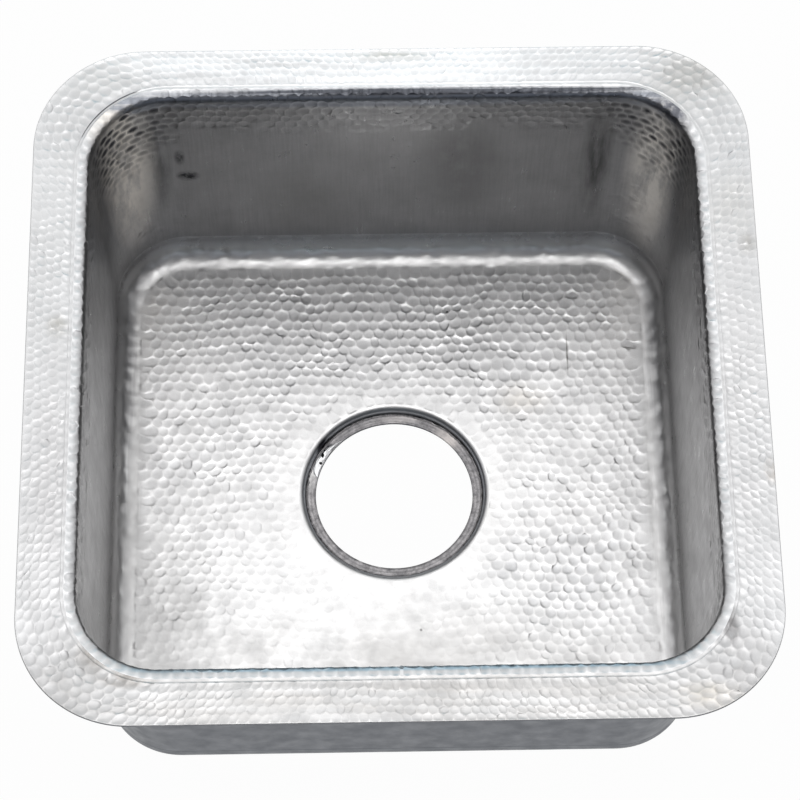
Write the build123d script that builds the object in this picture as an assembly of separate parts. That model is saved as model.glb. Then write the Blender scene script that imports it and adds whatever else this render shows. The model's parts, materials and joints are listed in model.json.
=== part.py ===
"""A square bar sink of hammered stainless sheet, built from its separate pieces of sheet and weld metal.

Millimetres, +Z up, the front of the sink towards -Y. The origin is under the middle of the drain, on the
plane that the drain seat stands on.
"""

import math
import os

from build123d import *

# Sheet stock
sheet = 1.5

# Rim flange, a flat ring round the opening
rim_width = 381.0
rim_depth = 381.0
rim_border = 30.3
rim_corner_radius = 58.0
rim_edge_round = 0.5

# Rolled lip, where the rim turns down into the bowl
lip_radius = 5.0
lip_flat = 1.6

# Bowl walls, which lean in a little towards the floor
bowl_depth = 165.0
bowl_corner_radius = 41.0
side_wall_lean = 2.5
end_wall_lean = 5.5

# Floor pan, with its turned-up edge
floor_radius = 12.7
floor_upstand = 3.0

# Drain seat, a flat ring with a standard strainer hole
drain_diameter = 88.9
seat_land = 5.75
seat_thickness = 1.5
seat_margin = 1.0

# Collar of the floor pan, which turns down to the seat and makes the recess
recess_round = 4.0
collar_height = 1.2

# Weld seams between the pieces of sheet
weld_gap = 2.0
weld_root = 0.5
weld_root_bevel = 0.4
wall_seam_gap = 1.6

# Soldered joint inside the recess, with one run of spilt metal on the seat
solder_leg = 1.5
solder_rise = 0.9
solder_fill = 0.4
spill_angle = 147.0
spill_sweep = 26.0
spill_height = 0.8
spill_clearance = 0.5
spill_overlap = 0.75

# Tolerance for picking edges by height
level_tolerance = 0.01

# Heights
seat_top = seat_thickness
collar_top = seat_top + collar_height
floor_top = collar_top + recess_round
floor_under = floor_top - sheet
rim_top = floor_top + bowl_depth
rim_under = rim_top - sheet
floor_seam = floor_top + floor_radius + floor_upstand
wall_start = floor_seam + weld_gap

# Plan sizes
opening_width = rim_width - 2 * rim_border
opening_depth = rim_depth - 2 * rim_border
lip_reach = lip_radius + lip_flat
flange_inner_reach = lip_reach + weld_gap

# Radii round the drain
drain_radius = drain_diameter / 2
collar_radius = drain_radius + seat_land
recess_radius = collar_radius + recess_round
seat_radius = collar_radius + sheet + seat_margin


def opening_plan(height, reach):
    """The opening's outline at a height, moved outwards by reach: square with round corners."""
    outline = RectangleRounded(
        opening_width + 2 * reach,
        opening_depth + 2 * reach,
        bowl_corner_radius + reach,
    )
    return Pos(0, 0, height) * outline


def wall_plan(height, offset):
    """The bowl's outline at a height, inside face at offset 0: the walls lean in towards the floor."""
    lean = (rim_top - height) / bowl_depth
    outline = RectangleRounded(
        opening_width - 2 * side_wall_lean * lean + 2 * offset,
        opening_depth - 2 * end_wall_lean * lean + 2 * offset,
        bowl_corner_radius + offset,
    )
    return Pos(0, 0, height) * outline


def bowl_block(low, high, offset):
    """A solid block that fills the bowl between two heights, out to offset from its inside face."""
    return loft([wall_plan(low, offset), wall_plan(high, offset)], ruled=True)


def edges_at(solid, height):
    """The edges of a solid that lie in the level plane at a height."""
    return solid.edges().filter_by_position(Axis.Z, height - level_tolerance, height + level_tolerance)


def reach_of(edge):
    """How far outside the opening's outline the middle of an edge lies."""
    middle = edge @ 0.5
    across = abs(middle.X) - opening_width / 2 + bowl_corner_radius
    along = abs(middle.Y) - opening_depth / 2 + bowl_corner_radius
    if across > 0 and along > 0:
        return math.hypot(across, along) - bowl_corner_radius
    return max(across, along) - bowl_corner_radius


def bowl_shell():
    """The whole bowl as one skin of sheet, from the lip's flat edge down to the floor."""
    outside = bowl_block(floor_under, rim_top, sheet)
    outside = fillet(edges_at(outside, floor_under), floor_radius + sheet)
    outside = outside + extrude(opening_plan(rim_under, lip_reach), sheet)
    under_lip = [edge for edge in edges_at(outside, rim_under) if reach_of(edge) < lip_radius]
    outside = fillet(under_lip, lip_radius - sheet)
    inside = bowl_block(floor_top, rim_top, 0)
    inside = fillet(edges_at(inside, floor_top), floor_radius)
    shell = outside - inside
    lip_edge = [edge for edge in edges_at(shell, rim_top) if reach_of(edge) < lip_radius]
    return fillet(lip_edge, lip_radius)


def slab(low, high):
    """A block wider than the sink, between two heights, that picks out a band of the bowl."""
    block = Box(2 * rim_width, 2 * rim_depth, high - low, align=(Align.CENTER, Align.CENTER, Align.MIN))
    return Pos(0, 0, low) * block


def make_rim_flange():
    """Flat plate ring, hammered on its top face, with its two outer edges eased."""
    plate = Pos(0, 0, rim_under) * RectangleRounded(rim_width, rim_depth, rim_corner_radius)
    plate = extrude(plate, sheet)
    outer_edges = edges_at(plate, rim_under) + edges_at(plate, rim_top)
    plate = fillet(outer_edges, min(rim_edge_round, sheet / 3))
    return plate - extrude(opening_plan(rim_under, flange_inner_reach), sheet)


def weld_ring(low, high):
    """The ring between lip and flange, from one height to another."""
    return extrude(opening_plan(low, flange_inner_reach) - opening_plan(low, lip_reach), high - low)


def make_rim_weld():
    """Butt weld between the flange and the lip: ground flush on top, with a root bead underneath."""
    low = rim_under - weld_root
    root = weld_ring(low, rim_under)
    root = chamfer(edges_at(root, low), min(weld_root_bevel, weld_root * 0.9, weld_gap * 0.4))
    return weld_ring(rim_under, rim_top) + root


def wall_seam_cutter():
    """The upright gap in the middle of the front wall, where the two ends of the bent sheet meet."""
    return Box(wall_seam_gap, rim_depth, rim_top, align=(Align.CENTER, Align.MAX, Align.MIN))


def drain_collar():
    """The sheet that turns down round the drain, from the floor to the seat."""
    outer = collar_radius + sheet
    profile = Polyline(
        (collar_radius, collar_top),
        (collar_radius, seat_top),
        (outer, seat_top),
        (outer, collar_top),
    )
    profile += RadiusArc((outer, collar_top), (recess_radius, floor_under), recess_round - sheet)
    profile += Line((recess_radius, floor_under), (recess_radius, floor_top))
    profile += RadiusArc((recess_radius, floor_top), (collar_radius, collar_top), -recess_round)
    return revolve(Plane.XZ * make_face(profile), Axis.Z)


def make_floor_pan(shell):
    """Floor with a rounded, turned-up edge all round and a turned-down collar at the drain."""
    pan = shell & slab(0, floor_seam)
    hole = Cylinder(recess_radius, rim_top, align=(Align.CENTER, Align.CENTER, Align.MIN))
    return (pan - hole) + drain_collar()


def make_drain_seat():
    """Flat ring that carries the strainer's flange, under the collar."""
    plate = Cylinder(seat_radius, seat_thickness, align=(Align.CENTER, Align.CENTER, Align.MIN))
    hole = Cylinder(drain_radius, seat_thickness, align=(Align.CENTER, Align.CENTER, Align.MIN))
    return plate - hole


def make_drain_solder():
    """Bead in the corner between collar and seat, with the spilt run of metal beside it."""
    bead_inner = collar_radius - solder_leg
    bead_top = seat_top + solder_rise
    hollow = (collar_radius - solder_leg * solder_fill, seat_top + solder_rise * solder_fill)
    profile = Polyline((collar_radius, bead_top), (collar_radius, seat_top), (bead_inner, seat_top))
    profile += ThreePointArc((bead_inner, seat_top), hollow, (collar_radius, bead_top))
    bead = revolve(Plane.XZ * make_face(profile), Axis.Z)
    spill_inner = drain_radius + spill_clearance
    spill_outer = bead_inner + spill_overlap
    crest = ((spill_inner + spill_outer) / 2, seat_top + spill_height)
    mound = Line((spill_outer, seat_top), (spill_inner, seat_top))
    mound += ThreePointArc((spill_inner, seat_top), crest, (spill_outer, seat_top))
    spill = revolve(Plane.XZ * make_face(mound), Axis.Z, revolution_arc=spill_sweep)
    return bead + Rot(0, 0, spill_angle - spill_sweep / 2) * spill


def save(shape, name):
    """Writes one piece to its own file."""
    shape.label = name
    export_step(shape, f"parts/{name}.step")


os.makedirs("parts", exist_ok=True)
shell = bowl_shell()
seam = wall_seam_cutter()
wall_band = shell & slab(wall_start, rim_top)
save(make_rim_flange(), "rim_flange")
save(make_rim_weld(), "rim_weld")
save(wall_band - seam, "bowl_wall")
save(wall_band & seam, "wall_seam_weld")
save(shell & slab(floor_seam, wall_start), "floor_weld")
save(make_floor_pan(shell), "floor_pan")
save(make_drain_seat(), "drain_seat")
save(make_drain_solder(), "drain_solder")
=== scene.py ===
"""A hammered stainless bar sink, dressed piece by piece in the order in which it is put together."""
import json
import math
import random

import bmesh
import bpy
from bmesh.types import BMEdge, BMFace, BMVert
from mathutils import Matrix, Vector, noise


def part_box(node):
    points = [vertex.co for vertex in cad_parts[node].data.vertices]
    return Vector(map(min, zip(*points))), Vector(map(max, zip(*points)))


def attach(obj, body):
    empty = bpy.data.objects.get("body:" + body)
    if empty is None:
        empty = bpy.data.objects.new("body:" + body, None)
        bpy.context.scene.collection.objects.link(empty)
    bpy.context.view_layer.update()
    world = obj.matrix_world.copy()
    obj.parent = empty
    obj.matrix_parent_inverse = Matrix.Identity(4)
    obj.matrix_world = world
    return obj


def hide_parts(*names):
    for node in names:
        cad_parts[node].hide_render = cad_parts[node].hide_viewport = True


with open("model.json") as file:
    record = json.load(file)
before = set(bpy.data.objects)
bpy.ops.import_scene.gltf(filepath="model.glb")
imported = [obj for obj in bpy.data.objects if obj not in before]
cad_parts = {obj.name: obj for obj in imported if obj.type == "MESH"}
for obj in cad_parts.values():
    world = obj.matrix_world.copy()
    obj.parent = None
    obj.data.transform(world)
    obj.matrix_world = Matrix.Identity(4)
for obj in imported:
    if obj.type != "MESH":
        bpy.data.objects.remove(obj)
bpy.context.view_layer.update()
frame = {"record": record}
# Vector noise takes its offset from the clock unless it is given a seed.
noise.seed_set(4)


# Drain seat. A flat ring of 1.5 mm stainless plate with the 3.5 inch strainer hole. It is turned on a
# lathe and darkened by the heat of the solder that holds it under the floor's collar.
seat_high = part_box("drain_seat")[1]
seat_radius = seat_high.x
seat_top = seat_high.z
drain_radius = frame["record"]["mounts"][0]["dims"]["r_mm"] / 1000
seat_edge_break = 0.0002
seat_steps = 240
seat_rows = 8
seat_ripple = 0.00012
sharp_angle = math.radians(38)


def shown(shape, name, node, slot, *finishes):
    """Makes a finished bmesh a smooth piece that stands for its node and takes the finishes it is given; the
    slot is not used.
    """
    bmesh.ops.recalc_face_normals(shape, faces=shape.faces[:])
    mesh = bpy.data.meshes.new(name)
    shape.to_mesh(mesh)
    shape.free()
    for face in mesh.polygons:
        face.use_smooth = True
    mesh.set_sharp_from_angle(angle=sharp_angle)
    piece = bpy.data.objects.new(name, mesh)
    bpy.context.scene.collection.objects.link(piece)
    for finish in finishes:
        piece.data.materials.append(finish)
    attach(piece, "root")
    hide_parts(node)


def turned(profile, steps):
    """A ring spun from a closed profile of radii and heights."""
    shape = bmesh.new()
    points = [shape.verts.new((radius, 0, height)) for radius, height in profile]
    edges = [shape.edges.new((a, b)) for a, b in zip(points, points[1:] + points[:1])]
    bmesh.ops.spin(
        shape, geom=points + edges, cent=(0, 0, 0), axis=(0, 0, 1), dvec=(0, 0, 0),
        angle=2 * math.pi, steps=steps, use_merge=True, use_duplicate=False,
    )
    return shape


def wired(tree, kind, inputs, **settings):
    """Adds a shader node: its settings, then each input's value or the output that feeds it."""
    node = tree.nodes.new("ShaderNode" + kind)
    for name, value in settings.items():
        setattr(node, name, value)
    for socket, value in inputs.items():
        if isinstance(value, bpy.types.NodeSocket):
            tree.links.new(value, node.inputs[socket])
        elif node.inputs[socket].type == "RGBA":
            node.inputs[socket].default_value = (*value, 1)
        else:
            node.inputs[socket].default_value = value
    return node


def metal(name, colour, stain, roughness, grain=(1400, 1400, 1400), grain_depth=0.00001, stain_size=30,
          stain_share=0.5, streaks=0.0, rings=0.0, dents=0.0, dent_colour=None, edge=1.0, bands=(), marks=()):
    """Bare metal: a fine grain, cloudy stains, upright streaks or turned rings, dark dents, and marks.

    A band turns the metal to another colour and roughness between two heights. A mark is a place on the
    object, its size each way, its colour and how strong it is."""
    # Some bands and marks are painted light and painted shade, and the dents' darkness is dull metal and, on
    # the walls, painted shade.
    material = bpy.data.materials.new(name)
    material.use_nodes = True
    tree = material.node_tree
    surface = tree.nodes["Principled BSDF"]
    surface.inputs["Metallic"].default_value = 1.0
    surface.inputs["Specular Tint"].default_value = (edge, edge, edge, 1)
    place = wired(tree, "TexCoord", {}).outputs["Object"]

    def cloud(scale, detail, rough):
        spot = wired(tree, "Mapping", {"Vector": place, "Scale": scale}).outputs["Vector"]
        facts = {"Vector": spot, "Scale": 1.0, "Detail": detail, "Roughness": rough}
        return wired(tree, "TexNoise", facts).outputs["Fac"]

    def ranged(value, low, high, start, end):
        facts = {"Value": value, "From Min": low, "From Max": high, "To Min": start, "To Max": end}
        return wired(tree, "MapRange", facts).outputs["Result"]

    def sum_of(kind, first, second):
        return wired(tree, "Math", {0: first, 1: second}, operation=kind).outputs["Value"]

    def apart(kind, first, second=(0, 0, 0)):
        return wired(tree, "VectorMath", {0: first, 1: second}, operation=kind).outputs

    def mixed(share, first, second):
        node = wired(tree, "Mix", {"Factor": share}, data_type="RGBA")
        colours = [socket for socket in node.inputs if socket.type == "RGBA"]
        for socket, value in zip(colours, (first, second)):
            if isinstance(value, tuple):
                socket.default_value = (*value, 1)
            else:
                tree.links.new(value, socket)
        return [socket for socket in node.outputs if socket.type == "RGBA"][0]

    fine = cloud(grain, 2.0, 0.6)
    stains = cloud([stain_size] * 3, 5.0, 0.62)
    tint = mixed(ranged(stains, 0.42, 0.70, 0.0, stain_share), colour, stain)
    tint = mixed(ranged(fine, 0.40, 0.75, 0.0, 0.25), tint, stain)
    swing = 0.08
    rough = ranged(cloud([stain_size * 3] * 3, 3.0, 0.6), 0.3, 0.7, roughness - swing, roughness + swing)
    height = fine
    if streaks:
        lines = cloud((900, 900, 14), 3.0, 0.6)
        tint = mixed(ranged(lines, 0.40, 0.66, 0.0, streaks), tint, stain)
        rough = sum_of("ADD", rough, ranged(lines, 0.3, 0.7, -0.05, 0.05))
        height = sum_of("ADD", fine, lines)
    if rings:
        facts = {"Vector": place, "Scale": 170, "Distortion": 3.0, "Detail": 4.0, "Detail Scale": 6.0}
        turning = wired(tree, "TexWave", facts, wave_type="RINGS", rings_direction="Z").outputs["Fac"]
        tint = mixed(ranged(turning, 0.2, 1.0, 0.0, rings), tint, stain)
        height = sum_of("ADD", height, turning)
    level = wired(tree, "SeparateXYZ", {0: place}).outputs["Z"]
    for start, end, shade, smoothness in bands:
        reached = ranged(level, start, end, 0.0, 1.0)
        tint = mixed(reached, tint, shade)
        rough = sum_of("ADD", rough, sum_of("MULTIPLY", reached, smoothness - roughness))
    for middle, size, shade, strength in marks:
        away = apart("SUBTRACT", place, middle)["Vector"]
        shrunk = apart("DIVIDE", away, size)["Vector"]
        near = ranged(apart("LENGTH", shrunk)["Value"], 0.25, 1.0, 1.0, 0.0)
        ragged = ranged(cloud([1.6 / side for side in size], 5.0, 0.68), 0.30, 0.56, 0.15, strength)
        tint = mixed(sum_of("MULTIPLY", near, ragged), tint, shade)
    if dents:
        dull_and_shade = wired(tree, "Attribute", {}, attribute_name="dent").outputs["Fac"]
        tint = mixed(sum_of("MULTIPLY", dull_and_shade, dents), tint, dent_colour or stain)
    bump = wired(tree, "Bump", {"Height": height, "Distance": grain_depth})
    tree.links.new(tint, surface.inputs["Base Color"])
    tree.links.new(rough, surface.inputs["Roughness"])
    tree.links.new(bump.outputs["Normal"], surface.inputs["Normal"])
    return material


top_radii = [
    drain_radius + seat_edge_break + (seat_radius - drain_radius - 2 * seat_edge_break) * row / seat_rows
    for row in range(seat_rows + 1)
]
seat_profile = [(radius, seat_top) for radius in top_radii]
seat_profile += [(seat_radius, seat_top - seat_edge_break), (seat_radius, seat_edge_break)]
seat_profile += [(seat_radius - seat_edge_break, 0), (drain_radius + seat_edge_break, 0)]
seat_profile += [(drain_radius, seat_edge_break), (drain_radius, seat_top - seat_edge_break)]
seat_shape = turned(seat_profile, seat_steps)
for point in seat_shape.verts:
    if point.co.z > seat_top - seat_edge_break / 2:
        point.co.z -= seat_ripple * (0.5 + 0.5 * noise.noise(point.co * 260))
seat_marks_and_shadow = [
    ((-0.0470, 0.0150, seat_top), (0.0045, 0.0130, 0.01), (0.70, 0.69, 0.68), 1.2),
    ((0.0040, 0.0478, seat_top), (0.0180, 0.0040, 0.01), (0.56, 0.53, 0.52), 0.8),
    ((0.0330, 0.0350, seat_top), (0.0130, 0.0100, 0.01), (0.62, 0.58, 0.56), 1.0),
    # Painted shadow: a near-black patch on the seat beside the spilt solder.
    ((-0.0395, 0.0285, seat_top), (0.0060, 0.0060, 0.01), (0.02, 0.02, 0.025), 2.0),
]
drain_plate = metal(
    "drain_plate", (0.45, 0.435, 0.44), (0.13, 0.125, 0.13), 0.40, stain_size=320, stain_share=0.8,
    rings=0.45, grain_depth=0.00002, marks=seat_marks_and_shadow,
    bands=((seat_top - 0.00004, seat_top - 0.0002, (0.045, 0.05, 0.06), 0.45),),
)
shown(seat_shape, "seat_ring", "drain_seat", "drain_plate", drain_plate)


# Floor pan. One sheet of 16 gauge stainless, pressed with a rounded foot that turns up all round and a
# collar that turns down at the drain, then hammered over its flat floor from inside.
sheet = 0.0015
weld_low, weld_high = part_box("floor_weld")
pan_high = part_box("floor_pan")[1]
bowl_corner = 0.041
foot_round = 0.0127
foot_corner = bowl_corner - foot_round
collar_radius = 0.0502
collar_height = 0.0012
recess_round = 0.004
recess_radius = collar_radius + recess_round
collar_top = seat_top + collar_height
floor_top = collar_top + recess_round
foot_centre = floor_top + foot_round
floor_half_x = pan_high.x - sheet - foot_round
floor_half_y = pan_high.y - sheet - foot_round
blow = 0.0063
snaps_per_metre = 200000
floor_depth = 0.00021
floor_tilt = 0.0065
floor_wave = 0.00012
border_dent = 0.00008
foot_dent_depth = 0.0006
foot_dent_pitch = 0.0070
hole_border_from = -0.02
hammering = [
    (Vector((0.092, -0.050)), 0.044, 1.20),
    (Vector((0.118, 0.020)), 0.055, 0.35),
    (Vector((-0.112, 0.015)), 0.055, 0.35),
    (Vector((-0.098, -0.040)), 0.040, 0.30),
    (Vector((-0.060, 0.112)), 0.062, 0.42),
    (Vector((0.060, 0.112)), 0.062, 0.42),
    (Vector((0.000, -0.115)), 0.070, -0.30),
]


def honeycomb(columns, rows, pitch, row_pitch, jitter, seed, closed):
    """A flat honeycomb of hammer blows, one six-sided face a blow, in rows along x.

    A closed one repeats along x, so that its two ragged ends fit each other."""
    dice = random.Random(seed)
    shape = bmesh.new()
    bmesh.ops.create_grid(shape, x_segments=columns + 2, y_segments=rows + 1, size=0.5)
    across = columns + 3
    blows = shape.verts[:]
    for number, centre in enumerate(blows):
        row, column = divmod(number, across)
        centre.co = ((column - 1 + row % 2 / 2) * pitch, (row - 0.5) * row_pitch, 0)
    bmesh.ops.triangulate(shape, faces=shape.faces[:], quad_method="SHORT_EDGE", ngon_method="BEAUTY")
    drift = {}
    for number, centre in enumerate(blows):
        row, column = divmod(number, across)
        twin = row, (column - 1) % columns if closed else column
        if twin not in drift:
            drift[twin] = Vector((dice.uniform(-jitter, jitter), dice.uniform(-jitter, jitter), 0)) * pitch
        drift[centre] = drift[twin]
    spans = [edge for edge in shape.edges if len(edge.link_faces) == 2]
    inner = [centre for centre in blows if not centre.is_boundary]
    corners = bmesh.ops.poke(
        shape, faces=shape.faces[:], offset=0, center_mode="MEAN", use_relative_offset=False,
    )["verts"]
    shifts = [
        (corner, sum((drift[edge.other_vert(corner)] for edge in corner.link_edges), Vector()) / 3)
        for corner in corners
    ]
    bmesh.ops.rotate_edges(shape, edges=spans, use_ccw=False)
    bmesh.ops.dissolve_verts(shape, verts=inner)
    over = (columns - 0.25) * pitch
    spare = [
        face for face in shape.faces
        if len(face.verts) < 6 or closed and face.calc_center_median().x > over
    ]
    bmesh.ops.delete(shape, geom=spare, context="FACES")
    for corner, shift in shifts:
        if not corner.is_valid:
            continue
        level = None
        if closed and corner.is_boundary and corner.co.y < row_pitch / 2:
            level = 0
        elif closed and corner.is_boundary and corner.co.y > (rows - 0.5) * row_pitch:
            level = rows * row_pitch
        corner.co += shift
        if level is not None:
            corner.co.y = level
    return shape


def keep_cells(shape, wanted):
    """Deletes the faces whose centre isn't wanted."""
    spare = [face for face in shape.faces if not wanted(face.calc_center_median())]
    bmesh.ops.delete(shape, geom=spare, context="FACES")


def sway(shape, amount, seed, hold, around=0.0):
    """Makes the rows of a honeycomb wander and its cells differ, less where hold is near 0.

    A closed one, with its ends a length of around apart, wanders alike at both ends."""
    ring = around / (2 * math.pi)
    for corner in shape.verts:
        spot = Vector((corner.co.x, corner.co.y, seed))
        if around:
            spot = Vector((ring * math.cos(spot.x / ring), ring * math.sin(spot.x / ring), spot.y + seed))
        move = noise.noise_vector(spot * 22) + noise.noise_vector(spot * 75) * 0.22
        corner.co += Vector((move.x, move.y, 0)) * amount * hold(corner.co)


def strike(shape, depth, tilt, share, tone, seed, rings, bow=0.0, around=1.0, faint=0.12, oval=1.0):
    """Sinks each cell of a flat honeycomb like one blow of a ball hammer, to a share of the depth.

    Tone is how much darker a dent's middle is than the ridges, as dull metal and, on the walls, painted
    shade, and oval how tall that dark spot is for its width. The two ends of a closed honeycomb, a length of
    around apart, get the same heights, and blows fainter than faint have fewer faces."""
    dice = random.Random(seed)
    mark = shape.faces.layers.int.new("blow")
    shade = shape.verts.layers.float.new("dent")
    halved = bmesh.ops.subdivide_edges(shape, edges=shape.edges[:], cuts=1)
    for point in only(BMVert, halved["geom_inner"]):
        if not point.is_boundary:
            ends = [edge.other_vert(point).co for edge in point.link_edges]
            point.co.y -= bow * abs(ends[0].x - ends[1].x)

    def sunk(offset, blow):
        """The height of a dent at an offset from its middle: a hollow that leans a little."""
        fall = (math.hypot(offset.x, offset.y) / blow["reach"]) ** 2.2 - 1
        return blow["force"] * depth * fall + blow["lean"].dot(offset) - blow["lean"].length * blow["reach"]

    def spot(point):
        """The place of a point, rounded, and the same for both ends of a closed honeycomb."""
        turned_to = round(point.co.x / around * snaps_per_metre) % snaps_per_metre
        return turned_to, round(point.co.y * snaps_per_metre)

    blows = []
    heights = {}
    for number, cell in enumerate(shape.faces):
        cell[mark] = number
        centre = cell.calc_center_median()
        force = share(centre) * dice.uniform(0.65, 1.25)
        blow = {
            "centre": centre,
            "reach": max((corner.co - centre).length for corner in cell.verts),
            "force": force,
            "lean": Vector((dice.gauss(0, tilt), dice.gauss(0, tilt), 0)) * force,
            "shade": tone(centre) * dice.uniform(0.45, 1.15),
        }
        blows.append(blow)
        for corner in cell.verts:
            heights.setdefault(spot(corner), []).append(sunk(corner.co - centre, blow))
    for corner in shape.verts:
        corner.co.z = max(heights[spot(corner)])
    deep = [cell for cell in shape.faces if blows[cell[mark]]["force"] > faint]
    for ring in rings:
        bmesh.ops.inset_individual(shape, faces=deep, thickness=0, depth=0)
        for cell in deep:
            blow = blows[cell[mark]]
            spread = [Vector((corner.co.x, corner.co.y, 0)) - blow["centre"] for corner in cell.verts]
            middling = sum(offset.length for offset in spread) / len(spread)
            for corner, offset in zip(cell.verts, spread):
                offset = offset * min((1 + ring) / 2, ring * (0.25 + 0.75 * middling / offset.length))
                corner.co = blow["centre"] + offset
                corner.co.z = sunk(offset, blow)
                dull_and_shade = 1 - (offset.x / blow["reach"]) ** 2 - (offset.y / blow["reach"] / oval) ** 2
                corner[shade] = max(0, dull_and_shade) * blow["shade"]
    hubs = bmesh.ops.poke(
        shape, faces=[cell for cell in shape.faces if len(cell.verts) > 4], offset=0,
        center_mode="MEAN", use_relative_offset=False,
    )["verts"]
    for hub in hubs:
        blow = blows[hub.link_faces[0][mark]]
        hub.co = blow["centre"]
        hub.co.z = sunk(Vector((0, 0, 0)), blow)
        hub[shade] = blow["shade"]


def floor_edge(point):
    """The centre of the round corner beside a point, the way out from there, and how far out it is."""
    core = Vector((
        max(foot_corner - floor_half_x, min(floor_half_x - foot_corner, point.x)),
        max(foot_corner - floor_half_y, min(floor_half_y - foot_corner, point.y)),
    ))
    out = Vector((point.x, point.y)) - core
    if out.length < 1e-9:
        return core, Vector((1, 0)), -foot_corner
    return core, out.normalized(), out.length - foot_corner


def floor_share(point):
    """How hard the floor was struck at a place."""
    share = 0.44 + 0.26 * noise.noise(Vector((point.x, point.y, 0)) * 14)
    for middle, size, more in hammering:
        share += more * math.exp(-(((Vector((point.x, point.y)) - middle).length / size) ** 2))
    inward = -floor_edge(point)[2]
    from_hole = math.hypot(point.x, point.y) - recess_radius
    return max(0.1, share) * min(1, 0.9 + inward / 0.015) * min(1, 0.25 + from_hole / 0.020)


def floor_tone(point):
    """How dark the floor's dents are, as dull metal and, towards the back, painted shade: most at the back
    and where they are deepest, least at the front.
    """
    return max(0.10, min(0.8, 0.05 + 0.60 * floor_share(point) * (0.30 + point.y / 0.15)))


def foot_dent(x, y, z):
    """How deep, from 0 to 1, the small dents of the rounded foot are at a place."""
    return max(0, 1 - noise.voronoi(Vector((x, y, z * 1.5)) / foot_dent_pitch)[0][0] * 1.5)


def only(kind, parts):
    """The points, the edges or the faces among an operator's results."""
    return [part for part in parts if isinstance(part, kind)]


def border_of(shape, data):
    """The border edges of a shape that have both their points in data."""
    return [edge for edge in shape.edges if edge.is_boundary and all(point in data for point in edge.verts)]


def carry(shape, border, data, stations, place, plain_from=99):
    """Extrudes a border through a list of stations, each of its points by its own data.

    Faces from the station plain_from on take the second finish, that of the smooth outside, made near black
    as painted shade."""
    for number, station in enumerate(stations):
        grown = bmesh.ops.extrude_edge_only(shape, edges=border)["geom"]
        for face in only(BMFace, grown):
            face.material_index = int(number >= plain_from)
        moved = {}
        for point in only(BMVert, grown):
            ends = [edge.other_vert(point) for edge in point.link_edges]
            moved[point] = [data[end] for end in ends if end in data][0]
        border = [edge for edge in only(BMEdge, grown) if all(point in moved for point in edge.verts)]
        for point, facts in moved.items():
            point.co = place(facts, station)
        data = moved
    return border


def arc(reach, height, radius, start, end, steps):
    """Stations round an arc about a centre, from one angle to another, leaving out the first."""
    turns = [start + (end - start) * k / steps for k in range(1, steps + 1)]
    return [(reach + radius * math.cos(turn), height + radius * math.sin(turn)) for turn in turns]


row_blow = blow * math.sqrt(3) / 2
floor_columns = math.ceil(2 * floor_half_x / blow) + 2
floor_rows = math.ceil(2 * floor_half_y / row_blow) + 2
pan = honeycomb(floor_columns, floor_rows, blow, row_blow, 0.34, 11, closed=False)
bmesh.ops.translate(
    pan, verts=pan.verts[:], vec=(-(floor_columns - 0.5) * blow / 2, -(floor_rows - 1) * row_blow / 2, 0),
)
keep_cells(pan, lambda c: (
    floor_edge(c)[2] < -blow * 0.30 and math.hypot(c.x, c.y) > recess_radius + blow * 0.30
))
for point in pan.verts:
    if point.is_boundary:
        core, out, beyond = floor_edge(point.co)
        if beyond > hole_border_from:
            plan = core + out * foot_corner
        else:
            plan = Vector((point.co.x, point.co.y)).normalized() * recess_radius
        point.co.x = plan.x
        point.co.y = plan.y
sway(pan, 0.0036, 13, lambda c: max(0, min(
    1, -floor_edge(c)[2] / 0.016, (math.hypot(c.x, c.y) - recess_radius) / 0.016,
)))
strike(pan, floor_depth, floor_tilt, floor_share, floor_tone, 12, (0.82, 0.50), bow=0.15)
outer_data = {}
hole_data = {}
for point in pan.verts:
    core, out, beyond = floor_edge(point.co)
    if point.is_boundary and beyond > hole_border_from:
        plan = core + out * foot_corner
        sink = floor_depth / 2 + border_dent * foot_dent(plan.x, plan.y, floor_top)
        point.co = (plan.x, plan.y, -sink)
        outer_data[point] = (core, out)
    elif point.is_boundary:
        out = Vector((point.co.x, point.co.y)).normalized()
        point.co = (out.x * recess_radius, out.y * recess_radius, 0)
        hole_data[point] = out
    from_hole = math.hypot(point.co.x, point.co.y) - recess_radius
    still = min(1, -beyond / 0.02, from_hole / 0.02) if not point.is_boundary else 0
    point.co.z += floor_top + still * floor_wave * noise.noise(Vector((point.co.x, point.co.y, 0)) * 34)

quarter = math.pi / 2
foot_steps = 12
under_steps = 8
foot_outer = foot_round + sheet
pan_stations = arc(0, foot_centre, foot_round, -quarter, 0, foot_steps)
pan_stations += [(foot_round, pan_high.z), (foot_outer, pan_high.z), (foot_outer, foot_centre)]
pan_stations += arc(0, foot_centre, foot_outer, 0, -quarter, under_steps)


def foot_place(facts, station):
    """A point of the rounded foot, which is hammered a little on its inside, as the floor is."""
    core, out = facts
    reach, height = station
    plan = core + out * (foot_corner + reach)
    turn = math.atan2(reach, foot_centre - height)
    if turn < quarter * 0.9 and math.hypot(reach, foot_centre - height) < foot_round + sheet / 2:
        sink = (border_dent + foot_dent_depth * math.sin(turn / 0.45)) * foot_dent(plan.x, plan.y, height)
        plan += out * (sink * math.sin(turn))
        height -= sink * math.cos(turn)
    return plan.x, plan.y, height


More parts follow.
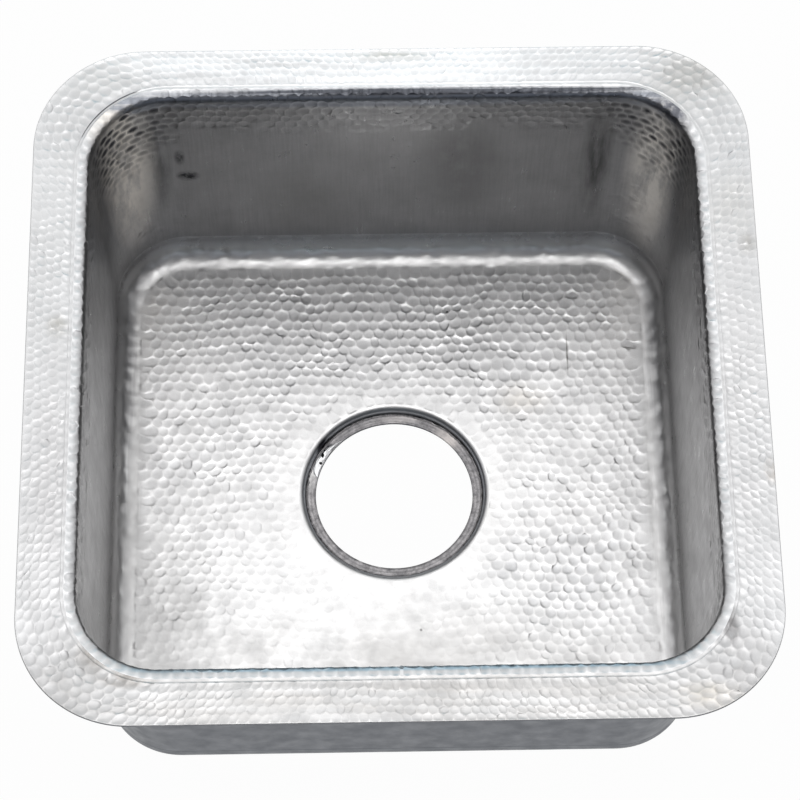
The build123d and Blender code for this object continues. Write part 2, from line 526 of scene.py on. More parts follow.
outer_border = border_of(pan, outer_data)
hole_border = border_of(pan, hole_data)
outer_end = carry(pan, outer_border, outer_data, pan_stations, foot_place, plain_from=foot_steps + 2)
collar_steps = 6
under_round = recess_round - sheet
collar_stations = arc(recess_radius, collar_top, recess_round, quarter, 2 * quarter, collar_steps)
collar_stations += [
    (collar_radius, seat_top), (collar_radius + sheet, seat_top), (collar_radius + sheet, collar_top),
]
collar_stations += arc(recess_radius, collar_top, under_round, 2 * quarter, quarter, collar_steps)
hole_end = carry(
    pan, hole_border, hole_data, collar_stations,
    lambda out, station: (out.x * station[0], out.y * station[0], station[1]), plain_from=collar_steps + 2,
)
under = bmesh.ops.triangle_fill(
    pan, use_beauty=True, use_dissolve=False, edges=outer_end + hole_end, normal=(0, 0, -1),
)["geom"]
for face in only(BMFace, under):
    face.material_index = 1
floor_marks_and_shade = [
    ((0.1014, 0.0857, floor_top), (0.0007, 0.0160, 0.01), (0.30, 0.29, 0.28), 1.2),
    ((0.0326, 0.1127, floor_top), (0.0010, 0.0010, 0.01), (0.05, 0.05, 0.05), 3.0),
    ((0.0134, -0.0833, floor_top), (0.0009, 0.0009, 0.01), (0.08, 0.08, 0.08), 3.0),
    ((0.0740, 0.0560, floor_top), (0.0200, 0.0140, 0.01), (0.80, 0.75, 0.68), 0.5),
    # Painted shadow: a near-black patch in the drain recess at the back left.
    ((-0.0410, 0.0310, floor_top - 0.003), (0.0075, 0.0075, 0.003), (0.02, 0.02, 0.025), 2.0),
    # Painted shade: the floor darker along its front and towards the front left.
    ((0.0100, -0.1500, floor_top), (0.1900, 0.0900, 0.01), (0.57, 0.56, 0.55), 1.7),
    ((-0.1300, -0.0900, floor_top), (0.0450, 0.0900, 0.01), (0.60, 0.595, 0.59), 1.2),
    # Painted shade: the rounded foot darker along the left and right walls.
    ((-0.1480, -0.0100, floor_top + 0.001), (0.0075, 0.1500, 0.012), (0.62, 0.615, 0.61), 1.6),
    ((0.1480, -0.0100, floor_top + 0.001), (0.0075, 0.1500, 0.012), (0.66, 0.655, 0.65), 1.6),
]
hammered_floor = metal(
    "hammered_floor", (0.95, 0.943, 0.938), (0.68, 0.67, 0.66), 0.40, stain_share=0.20, dents=0.80,
    dent_colour=(0.56, 0.555, 0.555), marks=floor_marks_and_shade,
    bands=(
        # Painted shade: the rounded foot turns darker as it rises towards the wall.
        (floor_top + 0.0005, floor_top + 0.004, (0.80, 0.795, 0.79), 0.34),
        (floor_top + 0.004, floor_top + 0.013, (0.50, 0.495, 0.50), 0.34),
        # Painted shade: below the floor's level, in the drain recess and the deepest dents, the colour
        # darkens with depth.
        (floor_top - 0.00002, floor_top - 0.0010, (0.30, 0.31, 0.33), 0.40),
        (floor_top - 0.0030, floor_top - 0.0048, (0.20, 0.205, 0.22), 0.45),
    ),
)
# The smooth outside, underside and edges of the sheets: plain steel with its colour made near black as
# painted shade, for the shadow under the rim.
shaded_outside_sheet = metal(
    "shaded_outside_sheet", (0.130, 0.140, 0.158), (0.098, 0.106, 0.120), 0.42, stain_share=0.20,
    grain=(20, 20, 1500), grain_depth=0.000012,
)
shown(pan, "pan_sheet", "floor_pan", "hammered_sheet", hammered_floor, shaded_outside_sheet)


# Drain solder. A bead of solder run in by hand round the inside of the recess, between collar and seat,
# with its pores and lumps, and one bright run of spilt solder on the seat at the back left.
bead_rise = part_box("drain_solder")[1].z - seat_top
bead_leg = bead_rise / 0.6
bead_steps = 420
bead_rows = 6
spill_angle = math.radians(147.5)
spill_sweep = math.radians(35)
spill_width = 0.0062
spill_height = 0.0008


def ring_strip(around, across, place):
    """A closed tube of a strip: a grid bent round by place(turn, share) and merged along its two seams."""
    shape = bmesh.new()
    bmesh.ops.create_grid(shape, x_segments=around, y_segments=across, size=0.5)
    for point in shape.verts:
        point.co = place(point.co.x + 0.5, point.co.y + 0.5)
    bmesh.ops.remove_doubles(shape, verts=shape.verts[:], dist=1e-6)
    return shape


def bead_place(turn, share):
    """The bead's section runs from the collar down its rounded face, and back under and behind it."""
    angle = 2 * math.pi * turn
    way = Vector((math.cos(angle), math.sin(angle), 0))
    lumps = 0.78 + 0.30 * noise.noise(way * 9) + 0.22 * noise.noise(way * 31) + 0.20 * noise.noise(way * 95)
    share = share * (bead_rows + 2) % (bead_rows + 2)
    if share <= bead_rows:
        lap = share / bead_rows * quarter
        belly = 1 - 0.40 * math.sin(2 * lap) * (1 + 0.5 * noise.noise(way * 22 + Vector((0, 0, share))))
        inward = bead_leg * lumps * math.sin(lap) * belly
        rise = bead_rise * lumps * math.cos(lap) * belly
    else:
        inward, rise = 0, 0
    return way * (collar_radius - inward) + Vector((0, 0, seat_top + rise))


solder = ring_strip(bead_steps, bead_rows + 2, bead_place)
spill = bmesh.new()
bmesh.ops.create_uvsphere(spill, u_segments=48, v_segments=24, radius=1)
for point in spill.verts:
    ball = point.co.copy()
    lump = 1 + 0.14 * noise.noise(ball * 2.2 + Vector((5, 1, 2)))
    half_width = spill_width / 2 * ((1 - ball.x) / 2 + 0.001) ** 0.55 * lump
    angle = spill_angle - ball.x * spill_sweep / 2
    radius = drain_radius + 0.0003 + half_width * (math.sqrt(max(0, 1 - ball.x ** 2)) + ball.y)
    height = seat_top + spill_height * max(0, ball.z) * lump * (1 + 0.3 * noise.noise(ball * 5))
    point.co = (math.cos(angle) * radius, math.sin(angle) * radius, height)
for face in spill.faces:
    face.material_index = 1
spill_mesh = bpy.data.meshes.new("spill")
spill.to_mesh(spill_mesh)
spill.free()
solder.from_mesh(spill_mesh)
bpy.data.meshes.remove(spill_mesh)
solder_metal = metal(
    "solder", (0.42, 0.405, 0.41), (0.16, 0.155, 0.16), 0.42, grain_depth=0.00012, stain_size=700,
    bands=((seat_top + 0.0004, seat_top + 0.0007, (0.02, 0.02, 0.022), 0.45),),
)
pinholes = [
    ((-0.0404, 0.0248, seat_top), (0.0010, 0.0018, 0.004), (0.01, 0.01, 0.01), 4.0),
    ((-0.0416, 0.0199, seat_top), (0.0011, 0.0010, 0.004), (0.01, 0.01, 0.01), 4.0),
    ((-0.0393, 0.0279, seat_top), (0.0006, 0.0006, 0.004), (0.02, 0.02, 0.02), 4.0),
]
bright_solder = metal(
    "bright_solder", (0.93, 0.93, 0.935), (0.60, 0.60, 0.60), 0.38, stain_size=400, stain_share=0.25,
    marks=pinholes,
)
shown(solder, "solder_bead", "drain_solder", "solder", solder_metal, bright_solder)


# Bowl wall. One band of the same sheet, bent round the four corners, with its top edge rolled over a bar
# into the lip. It was hammered hard over the lip and lightly down the walls, from the inside.
flange_low, flange_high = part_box("rim_flange")
rim_top = flange_high.z
rim_under = flange_low.z
opening = 0.1602
lip_radius = 0.005
lip_flat = 0.0016
lip_reach = lip_radius + lip_flat
lip_centre = rim_top - lip_radius
bowl_depth = rim_top - floor_top
side_lean = 0.0025
end_lean = 0.0055
wall_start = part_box("bowl_wall")[0].z
wall_columns = 189
wall_rows = 27
wall_depth = 0.00034
wall_tilt = 0.012
seam_sink = 0.00004
seam_fade = 0.0012
edge_blows = 226
edge_blow_rows = ((0.0040, 0.0, 1.0), (0.0087, 0.5, 0.60))
edge_blow_width = 0.0029
edge_blow_reach = 0.0026
edge_blow_depth = 0.00050
merge_distance = 3e-6
slit_half = 0.0008
slit_reach = 0.012
straight = 2 * (opening - bowl_corner)
corner_run = bowl_corner * quarter
side_run = straight + corner_run
outline = 4 * side_run
lip_run = lip_radius * quarter
wall_run = lip_flat + lip_run + (lip_centre - wall_start)


def beside(run, half_x, half_y, radius):
    """The core point and the way out at a run round a square with round corners.

    Runs are measured on the opening, from the middle of the front, and go to the right first."""
    run = (run + straight / 2) % outline
    side = int(run // side_run) % 4
    rest = run - side * side_run
    along = Vector(((1, 0), (0, 1), (-1, 0), (0, -1))[side])
    out = Vector(((0, -1), (1, 0), (0, 1), (-1, 0))[side])
    half_along, half_out = (half_x, half_y) if side % 2 == 0 else (half_y, half_x)
    if rest < straight:
        share = 2 * rest / straight - 1
        return along * (half_along - radius) * share + out * (half_out - radius), out
    turn = (rest - straight) / corner_run * quarter
    core = along * (half_along - radius) + out * (half_out - radius)
    return core, out * math.cos(turn) + along * math.sin(turn)


def wall_section(down, proud=0.0):
    """How far outside the opening, and how high, the inside of the wall is at a run down from its edge."""
    if down <= lip_flat:
        return lip_reach - down, rim_top + proud
    if down <= lip_flat + lip_run:
        turn = (down - lip_flat) / lip_radius
        radius = lip_radius + proud
        return lip_radius - radius * math.sin(turn), lip_centre + radius * math.cos(turn)
    return -proud, lip_centre - (down - lip_flat - lip_run)


def on_wall(run, reach, height):
    """A point of the bent wall, which leans in a little towards the floor."""
    lean = (rim_top - height) / bowl_depth
    core, out = beside(run, opening - side_lean * lean, opening - end_lean * lean, bowl_corner)
    spot = core + out * (bowl_corner + reach)
    return Vector((spot.x, spot.y, height))


def in_corner(run):
    """How far a run is into a round corner: 0 on the straights and 1 in the middle of a corner."""
    rest = (run + straight / 2) % side_run - straight
    if rest <= -0.010:
        return 0
    return max(0, math.sin(math.pi * max(-0.15, min(1.15, rest / corner_run)) / 1.3 + 0.36))


def edge_blow(run, reach):
    """How deep, from 0 to 1, the two rows of blows along the lip and the rim's seam are at a place."""
    deepest = 0
    for middle, offset, force in edge_blow_rows:
        number = run / outline * edge_blows + offset
        nearest = math.floor(number)
        shift = noise.noise_vector(Vector((nearest % edge_blows * 3.7 + 0.4, 0.3 + middle * 900, 0.6)))
        across = (number - nearest - 0.5 - 0.22 * shift.x) * outline / edge_blows
        away = reach - middle - 0.0008 * shift.y
        depth = 1 - (across / edge_blow_width) ** 2 - (away / edge_blow_reach) ** 2
        deepest = max(deepest, depth * (0.75 + 0.5 * shift.z) * force)
    return deepest


def wall_share(point):
    """How hard the wall was struck: hard below the lip and in the corners, lightly lower down."""
    deep = point.y - lip_flat - lip_run
    corner = in_corner(point.x)
    share = 0.75 if deep < -0.003 else 1.0
    if deep > 0.014:
        share = max(0.16 + 0.3 * corner, 1 - (deep - 0.014) / (0.030 + 0.060 * corner))
    return share * (0.75 + (0.15 + 0.3 * corner) * noise.noise(Vector((point.x, point.y, 3)) * 18))


def wall_tone(point):
    """How dark the wall's dents are, as painted shade: dark in the corners' top rows, fading down and along
    the straights.
    """
    deep = point.y - lip_flat - lip_run
    if deep < 0:
        return 0.10
    reach = 0.018 + 0.050 * in_corner(point.x)
    return (0.30 + 0.95 * in_corner(point.x)) * max(0.05, 1 - (deep / reach) ** 2)


def refine_start(shape):
    """Halves the border edges along the start of a flat honeycomb, where it meets the rim's seam."""
    edges = [edge for edge in shape.edges if edge.is_boundary and sum(end.co.y for end in edge.verts) < 1e-6]
    bmesh.ops.subdivide_edges(shape, edges=edges, cuts=1)


def level_at(away, height, blown):
    """The height of a hammered point: its own, or the seam's close to the seam, less an edge blow's depth."""
    own = min(1, away / seam_fade)
    return height * own - seam_sink * (1 - own) - edge_blow_depth * blown


def merged(shape, *groups):
    """Closes a bent honeycomb on itself and gives back its groups of points, without the lost ones."""
    bmesh.ops.remove_doubles(shape, verts=shape.verts[:], dist=merge_distance)
    return [{point: run for point, run in group.items() if point.is_valid} for group in groups]


wall_pitch = outline / wall_columns
wall_row = wall_run / wall_rows
wall = honeycomb(wall_columns, wall_rows, wall_pitch, wall_row, 0.34, 21, closed=True)
sway(wall, 0.0030, 23, lambda c: min(1, c.y / 0.005, (wall_run - c.y) / 0.012), around=outline)
strike(
    wall, wall_depth, wall_tilt, wall_share, wall_tone, 22, (0.84, 0.52), bow=0.12, around=outline,
    faint=0.44, oval=0.62,
)
fine_run = lip_flat + lip_run * 0.7
lip_edges = [edge for edge in wall.edges if sum(end.co.y for end in edge.verts) < 2 * fine_run]
bmesh.ops.subdivide_edges(wall, edges=lip_edges, cuts=1, use_grid_fill=True)
refine_start(wall)
dullness_and_shade = wall.verts.layers.float["dent"]
wall_foot = {}
wall_edge = {}
for point in wall.verts:
    run, down = point.co.x, point.co.y
    edge_on = min(1, (wall_run - down) / 0.004)
    blown = edge_blow(run, wall_section(down)[0])
    point[dullness_and_shade] = max(point[dullness_and_shade], 0.22 * blown)
    point.co = on_wall(run, *wall_section(down, level_at(down, point.co.z * edge_on, blown)))
    if down > wall_run - 1e-6:
        wall_foot[point] = run
    elif down < 1e-6:
        wall_edge[point] = run
wall_foot, wall_edge = merged(wall, wall_foot, wall_edge)
foot_border = border_of(wall, wall_foot)
edge_border = border_of(wall, wall_edge)
wall_stations = [(sheet, wall_start + (lip_centre - wall_start) * k / 5) for k in range(6)]
wall_stations += arc(lip_radius, lip_centre, lip_radius - sheet, 2 * quarter, quarter, 6)
wall_stations += [(lip_reach, rim_under)]
wall_end = carry(
    wall, foot_border, wall_foot, wall_stations, lambda run, station: on_wall(run, *station), plain_from=1,
)
bmesh.ops.bridge_loops(wall, edges=wall_end + edge_border)
bmesh.ops.recalc_face_normals(wall, faces=wall.faces[:])


def near_slit(width):
    """The wall's faces that have their centre within a width of the front's middle."""
    centres = [(face, face.calc_center_median()) for face in wall.faces]
    return [face for face, centre in centres if centre.y < 0 and abs(centre.x) < width]


def cap_sides(shape):
    """Fills the two ends that a piece of the wall has beside its upright seam."""
    for side in (-1, 1):
        ends = [edge for edge in shape.edges if edge.is_boundary and (edge.verts[0].co.x > 0) == (side > 0)]
        bmesh.ops.triangle_fill(shape, use_beauty=True, use_dissolve=False, edges=ends, normal=(side, 0, 0))


for point in wall.verts:
    if point.co.y < 0 and abs(abs(point.co.x) - slit_half) < 0.00003:
        point.co.x = math.copysign(slit_half, point.co.x)
bmesh.ops.triangulate(wall, faces=near_slit(slit_reach), quad_method="SHORT_EDGE", ngon_method="BEAUTY")
for side in (-1, 1):
    near = near_slit(slit_reach)
    edges = dict.fromkeys(edge for face in near for edge in face.edges)
    points = dict.fromkeys(point for face in near for point in face.verts)
    bmesh.ops.bisect_plane(
        wall, geom=near + list(edges) + list(points), dist=1e-6, plane_co=(side * slit_half, 0, 0),
        plane_no=(1, 0, 0),
    )
bmesh.ops.delete(wall, geom=near_slit(slit_half), context="FACES")
cap_sides(wall)
wall_marks_light_and_shade = [
    ((-0.1135, 0.1580, 0.0926), (0.0075, 0.02, 0.0060), (0.04, 0.04, 0.045), 1.3),
    ((-0.1170, 0.1580, 0.1120), (0.0035, 0.02, 0.0090), (0.08, 0.08, 0.085), 1.0),
    # Painted shade: dark upright strips beside the back corners and darker patches on the back wall.
    ((-0.1290, 0.1500, 0.1150), (0.0090, 0.02, 0.065), (0.15, 0.15, 0.15), 1.0),
    ((0.1150, 0.1560, 0.1050), (0.0100, 0.02, 0.070), (0.15, 0.15, 0.15), 1.0),
    ((0.0400, 0.1580, 0.1050), (0.0300, 0.02, 0.065), (0.28, 0.275, 0.275), 0.8),
    ((-0.0500, 0.1580, 0.0600), (0.0350, 0.02, 0.050), (0.36, 0.355, 0.35), 0.8),
    # Painted light: the back corners of the wall lighter and warm.
    ((-0.1500, 0.1500, 0.1200), (0.0240, 0.024, 0.095), (0.96, 0.91, 0.84), 1.4),
    ((0.1500, 0.1500, 0.1050), (0.0220, 0.022, 0.095), (0.96, 0.92, 0.86), 1.4),
    # Painted dark reflection: a slate-dark band along the back lip.
    ((-0.0150, 0.1590, rim_top - 0.0025), (0.2500, 0.0085, 0.008), (0.34, 0.355, 0.39), 3.0),
    ((0.0250, 0.1638, rim_top), (0.1500, 0.0024, 0.0024), (0.10, 0.105, 0.12), 2.6),
    # Painted highlight: a light bluish strip along the front lip.
    ((0.0000, -0.1618, rim_top - 0.0020), (0.1700, 0.0025, 0.006), (0.56, 0.67, 0.74), 2.0),
    # Painted dark reflection: the slate-dark band carried round the back right corner of the lip.
    ((0.1475, 0.1475, rim_top - 0.0010), (0.0165, 0.0165, 0.008), (0.20, 0.205, 0.23), 1.5),
]
# The walls' steel is given about half the floor's colour, painted shade of the upright walls, and the lip's
# top a lighter colour like the rim's, painted light; the streaks and stains are the sheet's own. The
# near-black dent colour is painted shade in the wall's dents.
wall_metal = metal(
    "streaked_sheet", (0.465, 0.461, 0.463), (0.30, 0.295, 0.295), 0.36, stain_share=0.4, streaks=0.22,
    dents=1.0, dent_colour=(0.05, 0.05, 0.056), edge=0.95, grain_depth=0.000015, marks=wall_marks_light_and_shade,
    bands=((rim_top - 0.0020, rim_top - 0.0004, (0.82, 0.82, 0.825), 0.42),),
)
shown(wall, "wall_sheet", "bowl_wall", "hammered_sheet", wall_metal, shaded_outside_sheet)


# Wall seam weld. The upright closing weld of the band, in the middle of the front wall, ground flush with
# the sheet on both sides.
seam_rows = 40
seam_line = [wall_section(wall_run * row / seam_rows, -seam_sink / 2) for row in range(seam_rows + 1)]
seam_line += wall_stations
wall_seam = bmesh.new()
seam_ring = [wall_seam.verts.new(on_wall(0, *station)) for station in seam_line]
for point in seam_ring:
    point.co.x = -slit_half
seam_ends = [wall_seam.edges.new(pair) for pair in zip(seam_ring, seam_ring[1:] + seam_ring[:1])]
for number, end in enumerate(seam_ends):
    grown = bmesh.ops.extrude_edge_only(wall_seam, edges=[end])["geom"]
    for point in only(BMVert, grown):
        point.co.x = slit_half
    for face in only(BMFace, grown):
        face.material_index = int(number > seam_rows)
bmesh.ops.remove_doubles(wall_seam, verts=wall_seam.verts[:], dist=1e-6)
cap_sides(wall_seam)
shown(wall_seam, "wall_seam", "wall_seam_weld", "ground_weld", wall_metal, shaded_outside_sheet)


# Floor weld. The seam all round between the wall band and the floor pan's rounded foot. It is ground
# smooth inside and keeps a faint, slightly uneven bead outside.
floor_weld_steps = 640
bead_proud = 0.0002
ground_hollow = 0.00007


def floor_weld_place(turn, share):
    """The weld's section: up the inside face, across, down the outside with its bead, and back."""
    run = outline * (turn % 1)
    lap = share * 12 % 12
    low, high = weld_low.z, weld_high.z
    if lap <= 4:
        level, reach = low + (high - low) * lap / 4, 0.0
        reach += ground_hollow * math.sin(lap / 4 * math.pi)
    elif lap < 6:
        level, reach = high, sheet * (lap - 4) / 2
    elif lap <= 10:
        level, reach = high - (high - low) * (lap - 6) / 4, sheet
        uneven = 0.6 + 0.4 * noise.noise(Vector((run * 220, 0, 7)))
        reach += bead_proud * math.sin((lap - 6) / 4 * math.pi) * uneven
    else:
        level, reach = low, sheet * (12 - lap) / 2
    return on_wall(run, reach, level)


floor_weld = ring_strip(floor_weld_steps, 12, floor_weld_place)
seam_metal = metal(
    "ground_seam", (0.60, 0.60, 0.605), (0.40, 0.395, 0.395), 0.34, stain_size=90, stain_share=0.8,
)
for face in floor_weld.faces:
    face.material_index = int(floor_edge(face.calc_center_median())[2] > foot_round + sheet / 2)
shown(floor_weld, "floor_seam", "floor_weld", "ground_weld", seam_metal, shaded_outside_sheet)


# Rim flange. A flat ring of 16 gauge plate round the opening, with eased outer edges. Its top is hammered
# hard, row beside row, before it is welded to the lip.
flange_half = flange_high.x
flange_corner = 0.058
flange_edge = 0.0005
weld_width = 0.002
flange_reach = lip_reach + weld_width
flange_inner = opening + flange_reach
flange_inner_corner = bowl_corner + flange_reach
flange_columns = 268
flange_rows = 5
flange_depth = 0.00021
flange_tilt = 0.007
flange_run = flange_half - flange_edge - flange_inner


def on_flange(run, out_share, height, beyond=0.0):
    """A point of the rim, from the weld's edge at 0 to the start of the eased outer edge at 1."""
    inner, out = beside(run, flange_inner, flange_inner, flange_inner_corner)
    start = inner + out * flange_inner_corner
    outer, out = beside(run, flange_half, flange_half, flange_corner)
    end = outer + out * (flange_corner - flange_edge)
    spot = start.lerp(end, out_share) + out * beyond
    return Vector((spot.x, spot.y, height))


def flange_share(point):
    """How hard the rim was struck."""
    return 0.8 + 0.5 * noise.noise(Vector((point.x, point.y, 9)) * 16) + 0.5 * in_corner(point.x)


def flange_tone(point):
    """How dull the rim's dents are: most in the corners, in patches along the straights."""
    patch = 0.5 + 0.8 * noise.noise(Vector((point.x, point.y, 5)) * 14)
    return max(0.1, min(1, 0.50 * patch + 0.30 * in_corner(point.x)))


flange_pitch = outline / flange_columns
flange_row = flange_run / flange_rows
flange = honeycomb(flange_columns, flange_rows, flange_pitch, flange_row, 0.34, 31, closed=True)
sway(flange, 0.0026, 33, lambda c: min(1, c.y / 0.006, (flange_run - c.y) / 0.006), around=outline)
strike(
    flange, flange_depth, flange_tilt, flange_share, flange_tone, 32, (0.82, 0.50), bow=0.08, around=outline,
)
refine_start(flange)
dullness_and_shade = flange.verts.layers.float["dent"]
rim_outside = {}
rim_inside = {}
for point in flange.verts:
    run, out_share = point.co.x, point.co.y / flange_run
    edge_on = min(1, (flange_run - point.co.y) / 0.0008)
    blown = edge_blow(run, flange_reach + point.co.y)
    height = rim_top + level_at(point.co.y, point.co.z * edge_on, blown)
    point[dullness_and_shade] = max(point[dullness_and_shade], 0.45 * blown)
    point.co = on_flange(run, out_share, height)
    if out_share > 1 - 1e-4:
        rim_outside[point] = run
    elif out_share < 1e-4:
        rim_inside[point] = run
rim_outside, rim_inside = merged(flange, rim_outside, rim_inside)
out_border = border_of(flange, rim_outside)
in_border = border_of(flange, rim_inside)
edge_stations = arc(0, rim_top - flange_edge, flange_edge, quarter, 0, 3)
edge_stations += [(flange_edge, rim_under + flange_edge)]
edge_stations += arc(0, rim_under + flange_edge, flange_edge, 0, -quarter, 3)
out_end = carry(
    flange, out_border, rim_outside, edge_stations, lambda run, s: on_flange(run, 1, s[1], s[0]),
    plain_from=2,
)
in_end = carry(flange, in_border, rim_inside, [(0, rim_under)], lambda run, s: on_flange(run, 0, s[1]))
for face in bmesh.ops.bridge_loops(flange, edges=out_end + in_end)["faces"]:
    face.material_index = 1
rim_marks_light_and_shade = [
    # Painted shade: the rim darker along its front, at its front corners and along its right side.
    ((0.0000, -0.1800, rim_top), (0.2300, 0.0300, 0.01), (0.56, 0.545, 0.53), 1.1),
    ((-0.1640, -0.1640, rim_top), (0.0340, 0.0340, 0.01), (0.42, 0.41, 0.40), 0.7),
    ((0.1640, -0.1640, rim_top), (0.0340, 0.0340, 0.01), (0.46, 0.45, 0.445), 0.7),
    ((0.1760, -0.0300, rim_top), (0.0230, 0.1500, 0.01), (0.64, 0.63, 0.63), 0.6),
    # Painted light: the rim lighter along its back.
    ((-0.0300, 0.1800, rim_top), (0.1900, 0.0260, 0.01), (0.97, 0.98, 0.99), 1.4),
    # Painted shade: the rim darker along its left side.
    ((-0.1760, -0.0700, rim_top), (0.0230, 0.1200, 0.01), (0.62, 0.61, 0.61), 0.8),
    ((-0.1745, 0.0260, rim_top), (0.0070, 0.0080, 0.01), (0.50, 0.49, 0.46), 0.9),
    ((0.1857, 0.0692, rim_top), (0.0065, 0.0080, 0.01), (0.46, 0.45, 0.43), 1.0),
    ((0.1800, 0.0900, rim_top), (0.0200, 0.0300, 0.01), (0.70, 0.69, 0.67), 0.7),
    ((0.1900, -0.0602, rim_top), (0.0060, 0.0090, 0.01), (0.55, 0.51, 0.47), 0.9),
    ((0.0000, 0.1864, rim_top), (0.0260, 0.0050, 0.01), (0.62, 0.62, 0.58), 0.8),
    ((0.1610, 0.1720, rim_top), (0.0300, 0.0260, 0.01), (0.52, 0.515, 0.50), 0.9),
    ((-0.1500, -0.1530, rim_top), (0.0110, 0.0130, 0.01), (0.34, 0.32, 0.30), 1.1),
    ((-0.1340, -0.1660, rim_top), (0.0170, 0.0070, 0.01), (0.36, 0.34, 0.32), 1.1),
    ((0.1630, -0.1430, rim_top), (0.0050, 0.0120, 0.01), (0.28, 0.27, 0.27), 1.3),
    ((0.1500, -0.1790, rim_top), (0.0200, 0.0090, 0.01), (0.66, 0.62, 0.56), 0.8),
    ((-0.1560, 0.1740, rim_top), (0.0300, 0.0160, 0.01), (0.66, 0.66, 0.65), 0.7),
]
hammered_rim = metal(
    "hammered_rim", (0.745, 0.745, 0.748), (0.58, 0.58, 0.575), 0.37, stain_share=0.25, dents=0.95,
    dent_colour=(0.47, 0.47, 0.475), marks=rim_marks_light_and_shade,
)
shown(flange, "rim_plate", "rim_flange", "hammered_sheet", hammered_rim, shaded_outside_sheet)


# Rim weld. The butt weld between the lip and the flange, ground flush and hammered over on top, with its
# rough root bead left underneath.
rim_weld_steps = 900
root_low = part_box("rim_weld")[0].z
groove_depth = 0.0006
weld_rough = 0.00004


def open_groove(run):
    """How open the weld was left at a run: only round the back left corner."""
    away = abs(run - outline * 5 / 8) / 0.022
    return max(0, 1 - away * away) * (0.6 + 0.4 * noise.noise(Vector((run * 300, 0, 2))))


def rim_weld_place(turn, share):
    """The weld's section: across the top from the lip, down, under with the root bead, and up."""
    run = outline * (turn % 1)
    lap = share * 12 % 12
    if lap <= 4:
        reach = lip_reach + weld_width * lap / 4
        height = rim_top - seam_sink - edge_blow_depth * edge_blow(run, reach)
        if 0 < lap < 4:
            height += weld_rough * noise.noise(Vector((run * 160, lap, 4))) - groove_depth * open_groove(run)
    elif lap < 6:
        reach, height = flange_reach, rim_top + (rim_under - rim_top) * (lap - 4) / 2
    elif lap <= 10:
        root = (rim_under - root_low) * (0.75 + 0.25 * noise.noise(Vector((run * 180, 0, 1))))
        reach = lip_reach + weld_width * (10 - lap) / 4
        height = rim_under - root * math.sin((lap - 6) / 4 * math.pi)
    else:
        reach, height = lip_reach, rim_under + (rim_top - rim_under) * (lap - 10) / 2
    core, out = beside(run, opening, opening, bowl_corner)
    spot = core + out * (bowl_corner + reach)
    return Vector((spot.x, spot.y, height))


rim_weld = ring_strip(rim_weld_steps, 12, rim_weld_place)
dullness_and_shade = rim_weld.verts.layers.float.new("dent")
for point in rim_weld.verts:
    point[dullness_and_shade] = max(0, min(1, (rim_top - seam_sink - point.co.z) / edge_blow_depth)) * 0.45
shown(rim_weld, "rim_seam", "rim_weld", "ground_weld", hammered_rim)


# Studio. A plain pale floor, a soft light that comes from overhead and behind, and the camera.
floor_shape = bmesh.new()
bmesh.ops.create_grid(floor_shape, x_segments=1, y_segments=1, size=4)
floor_mesh = bpy.data.meshes.new("studio_floor")
floor_shape.to_mesh(floor_mesh)
floor_shape.free()
studio_floor = bpy.data.objects.new("studio_floor", floor_mesh)
bpy.context.scene.collection.objects.link(studio_floor)
floor_paint = bpy.data.materials.new("studio_floor")
floor_paint.use_nodes = True
studio_floor.data.materials.append(floor_paint)
tree = floor_paint.node_tree
tree.nodes.clear()
rays = wired(tree, "LightPath", {}).outputs
seen = rays["Is Camera Ray"]
for kind in ("Is Glossy Ray", "Is Transmission Ray"):
    seen = wired(tree, "Math", {0: seen, 1: rays[kind]}, operation="MAXIMUM").outputs["Value"]
share = wired(tree, "Math", {0: seen, 1: 0.975}, operation="MULTIPLY").outputs["Value"]
paint = wired(tree, "BsdfDiffuse", {"Color": (0.85, 0.85, 0.85)}).outputs[0]
glow = wired(tree, "Emission", {}).outputs[0]
blend = wired(tree, "MixShader", {0: share, 1: paint, 2: glow}).outputs[0]
wired(tree, "OutputMaterial", {0: blend})

world = bpy.data.worlds.new("studio")
bpy.context.scene.world = world
world.use_nodes = True
tree = world.node_tree
tree.nodes.clear()
rays = wired(tree, "LightPath", {}).outputs
way = wired(tree, "TexCoord", {}).outputs["Generated"]


def towards(aim, low, high, **settings):
    """How far, from 0 to 1, a direction has turned to an aim between two values of their product."""
    turned_to = wired(tree, "VectorMath", {0: way, 1: aim}, operation="DOT_PRODUCT").outputs["Value"]
    return wired(tree, "MapRange", {"Value": turned_to, "From Min": low, "From Max": high}, **settings)


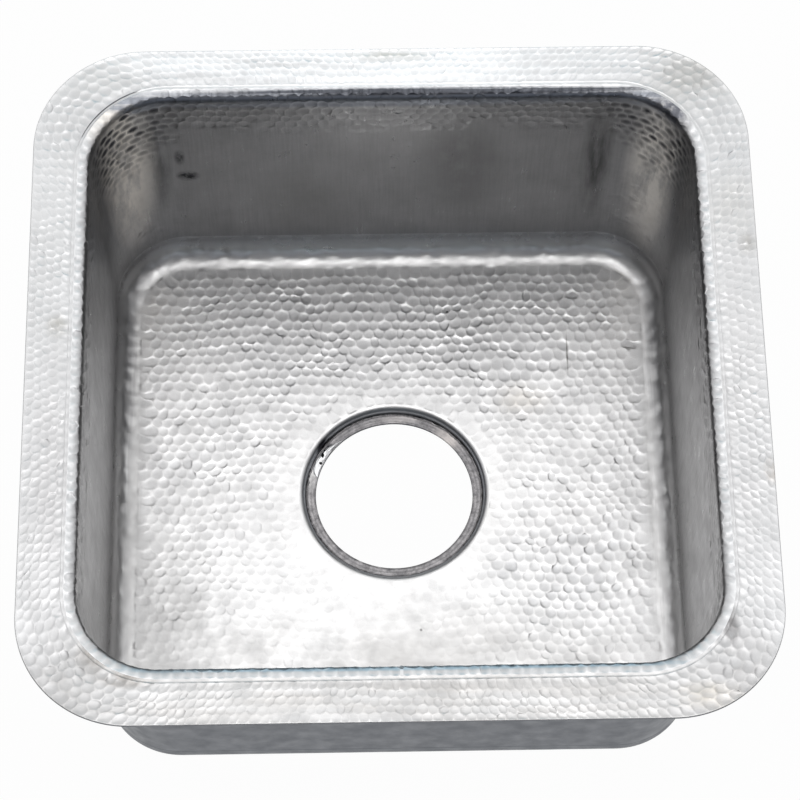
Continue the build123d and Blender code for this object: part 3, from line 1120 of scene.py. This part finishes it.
sky = towards((0, 0.93, 0.36), -1, 1).outputs["Result"]
fall = wired(tree, "ValToRGB", {"Fac": sky})
fall.color_ramp.interpolation = "B_SPLINE"
fall.color_ramp.elements[0].position = 0.10
fall.color_ramp.elements[0].color = (0.40, 0.43, 0.50, 1)
fall.color_ramp.elements[1].position = 0.97
fall.color_ramp.elements[1].color = (0.62, 0.80, 0.90, 1)
for position, light in (
    (0.34, 0.09), (0.48, 0.08), (0.60, 0.40), (0.72, 0.80), (0.86, 0.78), (0.91, 2.05),
):
    fall.color_ramp.elements.new(position).color = (light, light * 1.005, light * 1.02, 1)
horizon = towards((0, 0, 1), 0.05, 0.45, interpolation_type="SMOOTHSTEP")
horizon.inputs["To Min"].default_value = 0.12
room = wired(tree, "Background", {"Color": fall.outputs["Color"], "Strength": horizon.outputs["Result"]})
softbox = towards(
    (0, 0.03, 1), math.cos(math.radians(24)), math.cos(math.radians(7)), interpolation_type="SMOOTHSTEP",
)
softbox.inputs["To Max"].default_value = 2.1
lamp = wired(tree, "Background", {"Strength": softbox.outputs["Result"]})
both = wired(tree, "AddShader", {0: room.outputs[0], 1: lamp.outputs[0]}).outputs[0]
white = wired(tree, "Background", {"Color": (1, 1, 1)}).outputs[0]
blend = wired(tree, "MixShader", {0: rays["Is Camera Ray"], 1: both, 2: white}).outputs[0]
wired(tree, "OutputWorld", {0: blend})

look_down = math.radians(65.4425)
look_right = math.radians(1.8956)
camera_roll = math.radians(0.9598)
camera_place = Vector((-0.0183, -0.6244, 1.4983))
flat = math.cos(look_down)
aim = Vector((flat * math.sin(look_right), flat * math.cos(look_right), -math.sin(look_down)))
level = Vector((math.cos(look_right), -math.sin(look_right), 0))
upright = level.cross(aim)
right = math.cos(camera_roll) * level + math.sin(camera_roll) * upright
top = -math.sin(camera_roll) * level + math.cos(camera_roll) * upright
camera = bpy.data.objects.new("camera", bpy.data.cameras.new("camera"))
bpy.context.scene.collection.objects.link(camera)
turn = Matrix((right, top, -aim)).transposed().to_4x4()
turn.translation = camera_place
camera.matrix_world = turn
camera.data.sensor_width = 36
camera.data.lens = 128.58
bpy.context.scene.camera = camera
bpy.context.scene.view_settings.view_transform = "Standard"
